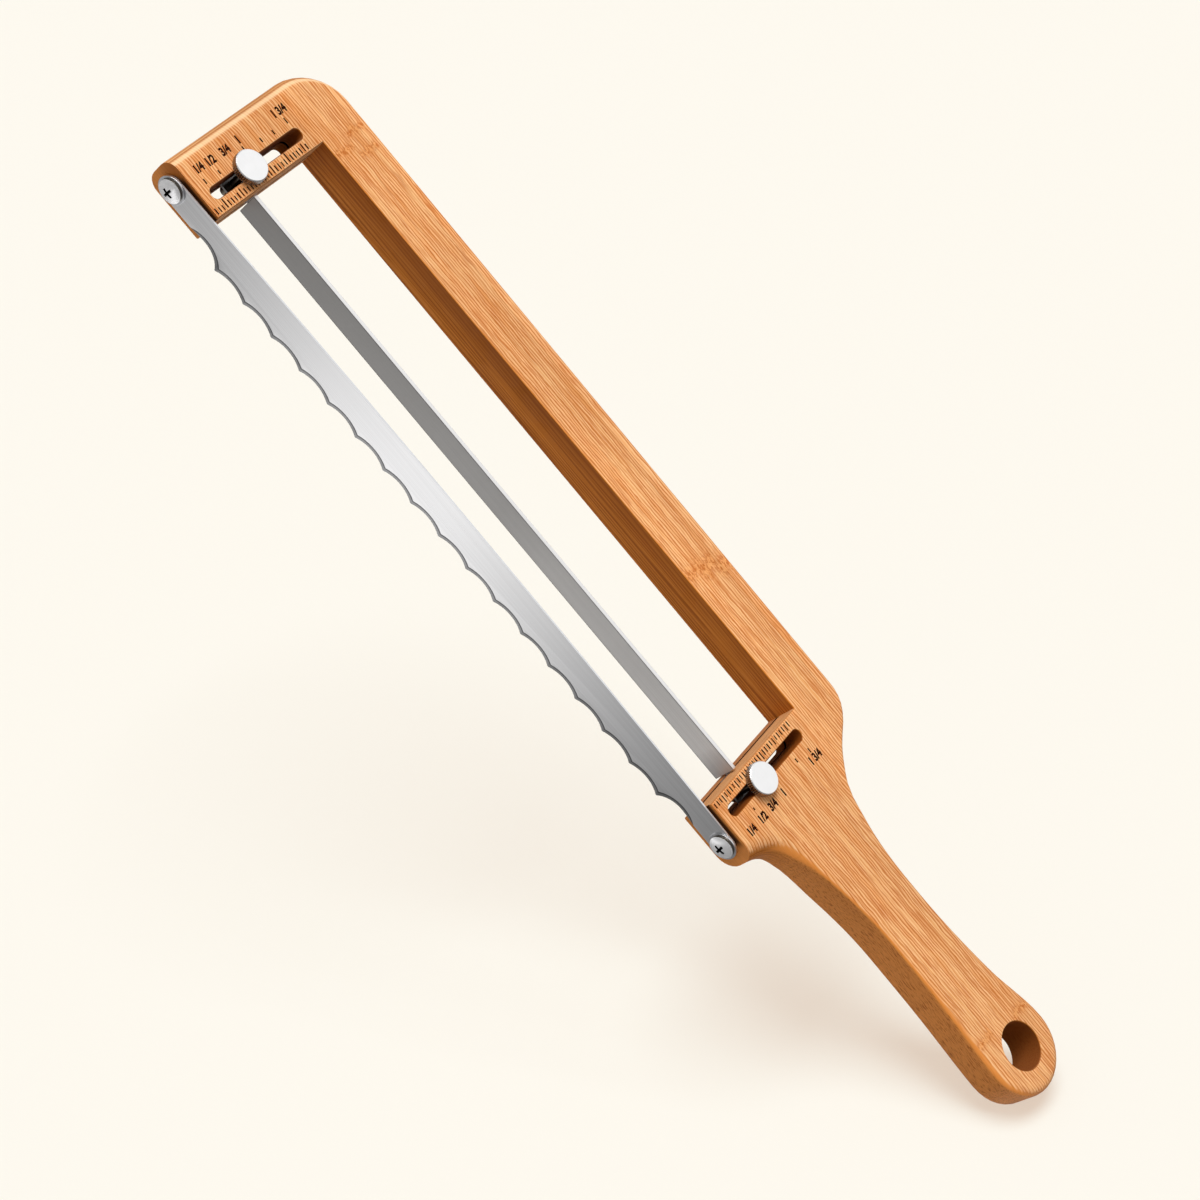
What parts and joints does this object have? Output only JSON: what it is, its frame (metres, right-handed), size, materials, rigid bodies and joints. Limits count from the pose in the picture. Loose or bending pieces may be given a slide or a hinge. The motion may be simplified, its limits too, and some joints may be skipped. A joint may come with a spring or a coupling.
{
  "type": "bread bow knife",
  "caption": "Bow-shaped bread knife: bamboo bow with a handle, scalloped steel blade across its posts, and a sliding guide bar clamped by thumb screws that sets the slice thickness.",
  "frame": {"origin": "middle of the knife's box in plan, on the plane that the blade's points and the back face lie towards", "axes": "+X from the tip post to the end of the handle, +Y from the blade to the spine, +Z out of the front face, where the thumb screws are"},
  "size_m": [0.4249, 0.0814, 0.0207],
  "materials": {
    "bamboo": "oiled bamboo, satin",
    "blade_steel": "brushed along the blade",
    "bar_steel": "brushed along the bar",
    "screw_steel": "plated, bright",
    "washer_steel": "plated, satin",
    "knob_nickel": "turned face, knurled rim"
  },
  "bodies": {
    "bow": {"bow_frame": "bamboo", "blade": "blade_steel", "tip_blade_screw": "screw_steel", "heel_blade_screw": "screw_steel", "tip_blade_washer": "washer_steel", "heel_blade_washer": "washer_steel", "tip_blade_spacer": "washer_steel", "heel_blade_spacer": "washer_steel"},
    "guide": {"guide_bar": "bar_steel", "tip_guide_tongue": "bar_steel", "heel_guide_tongue": "bar_steel", "tip_slot_nut": "bar_steel", "heel_slot_nut": "bar_steel"},
    "tip_clamp": {"tip_clamp_washer": "washer_steel"},
    "heel_clamp": {"heel_clamp_washer": "washer_steel"},
    "tip_screw": {"tip_thumb_screw": "knob_nickel"},
    "heel_screw": {"heel_thumb_screw": "knob_nickel"}
  },
  "joints": [
    {"name": "guide_slide", "type": "slide", "parent": "bow", "child": "guide", "axis": [0, 1, 0], "range_m": [-0.0142, 0.0246]},
    {"name": "tip_lift", "type": "slide", "parent": "guide", "child": "tip_clamp", "axis": [0, 0, 1], "range_m": [0, 0.00075]},
    {"name": "tip_turn", "type": "hinge", "parent": "tip_clamp", "child": "tip_screw", "pos_m": [-0.1947, -0.0142, 0.0172], "axis": [0, 0, 1], "range_deg": [0, 540]},
    {"name": "heel_lift", "type": "slide", "parent": "guide", "child": "heel_clamp", "axis": [0, 0, 1], "range_m": [0, 0.00075]},
    {"name": "heel_turn", "type": "hinge", "parent": "heel_clamp", "child": "heel_screw", "pos_m": [0.0653, -0.0142, 0.0172], "axis": [0, 0, 1], "range_deg": [0, 540]}
  ],
  "couplings": [
    {"joint": "tip_turn", "follows": "tip_lift", "rad_per_m": 12566},
    {"joint": "heel_turn", "follows": "heel_lift", "rad_per_m": 12566}
  ]
}
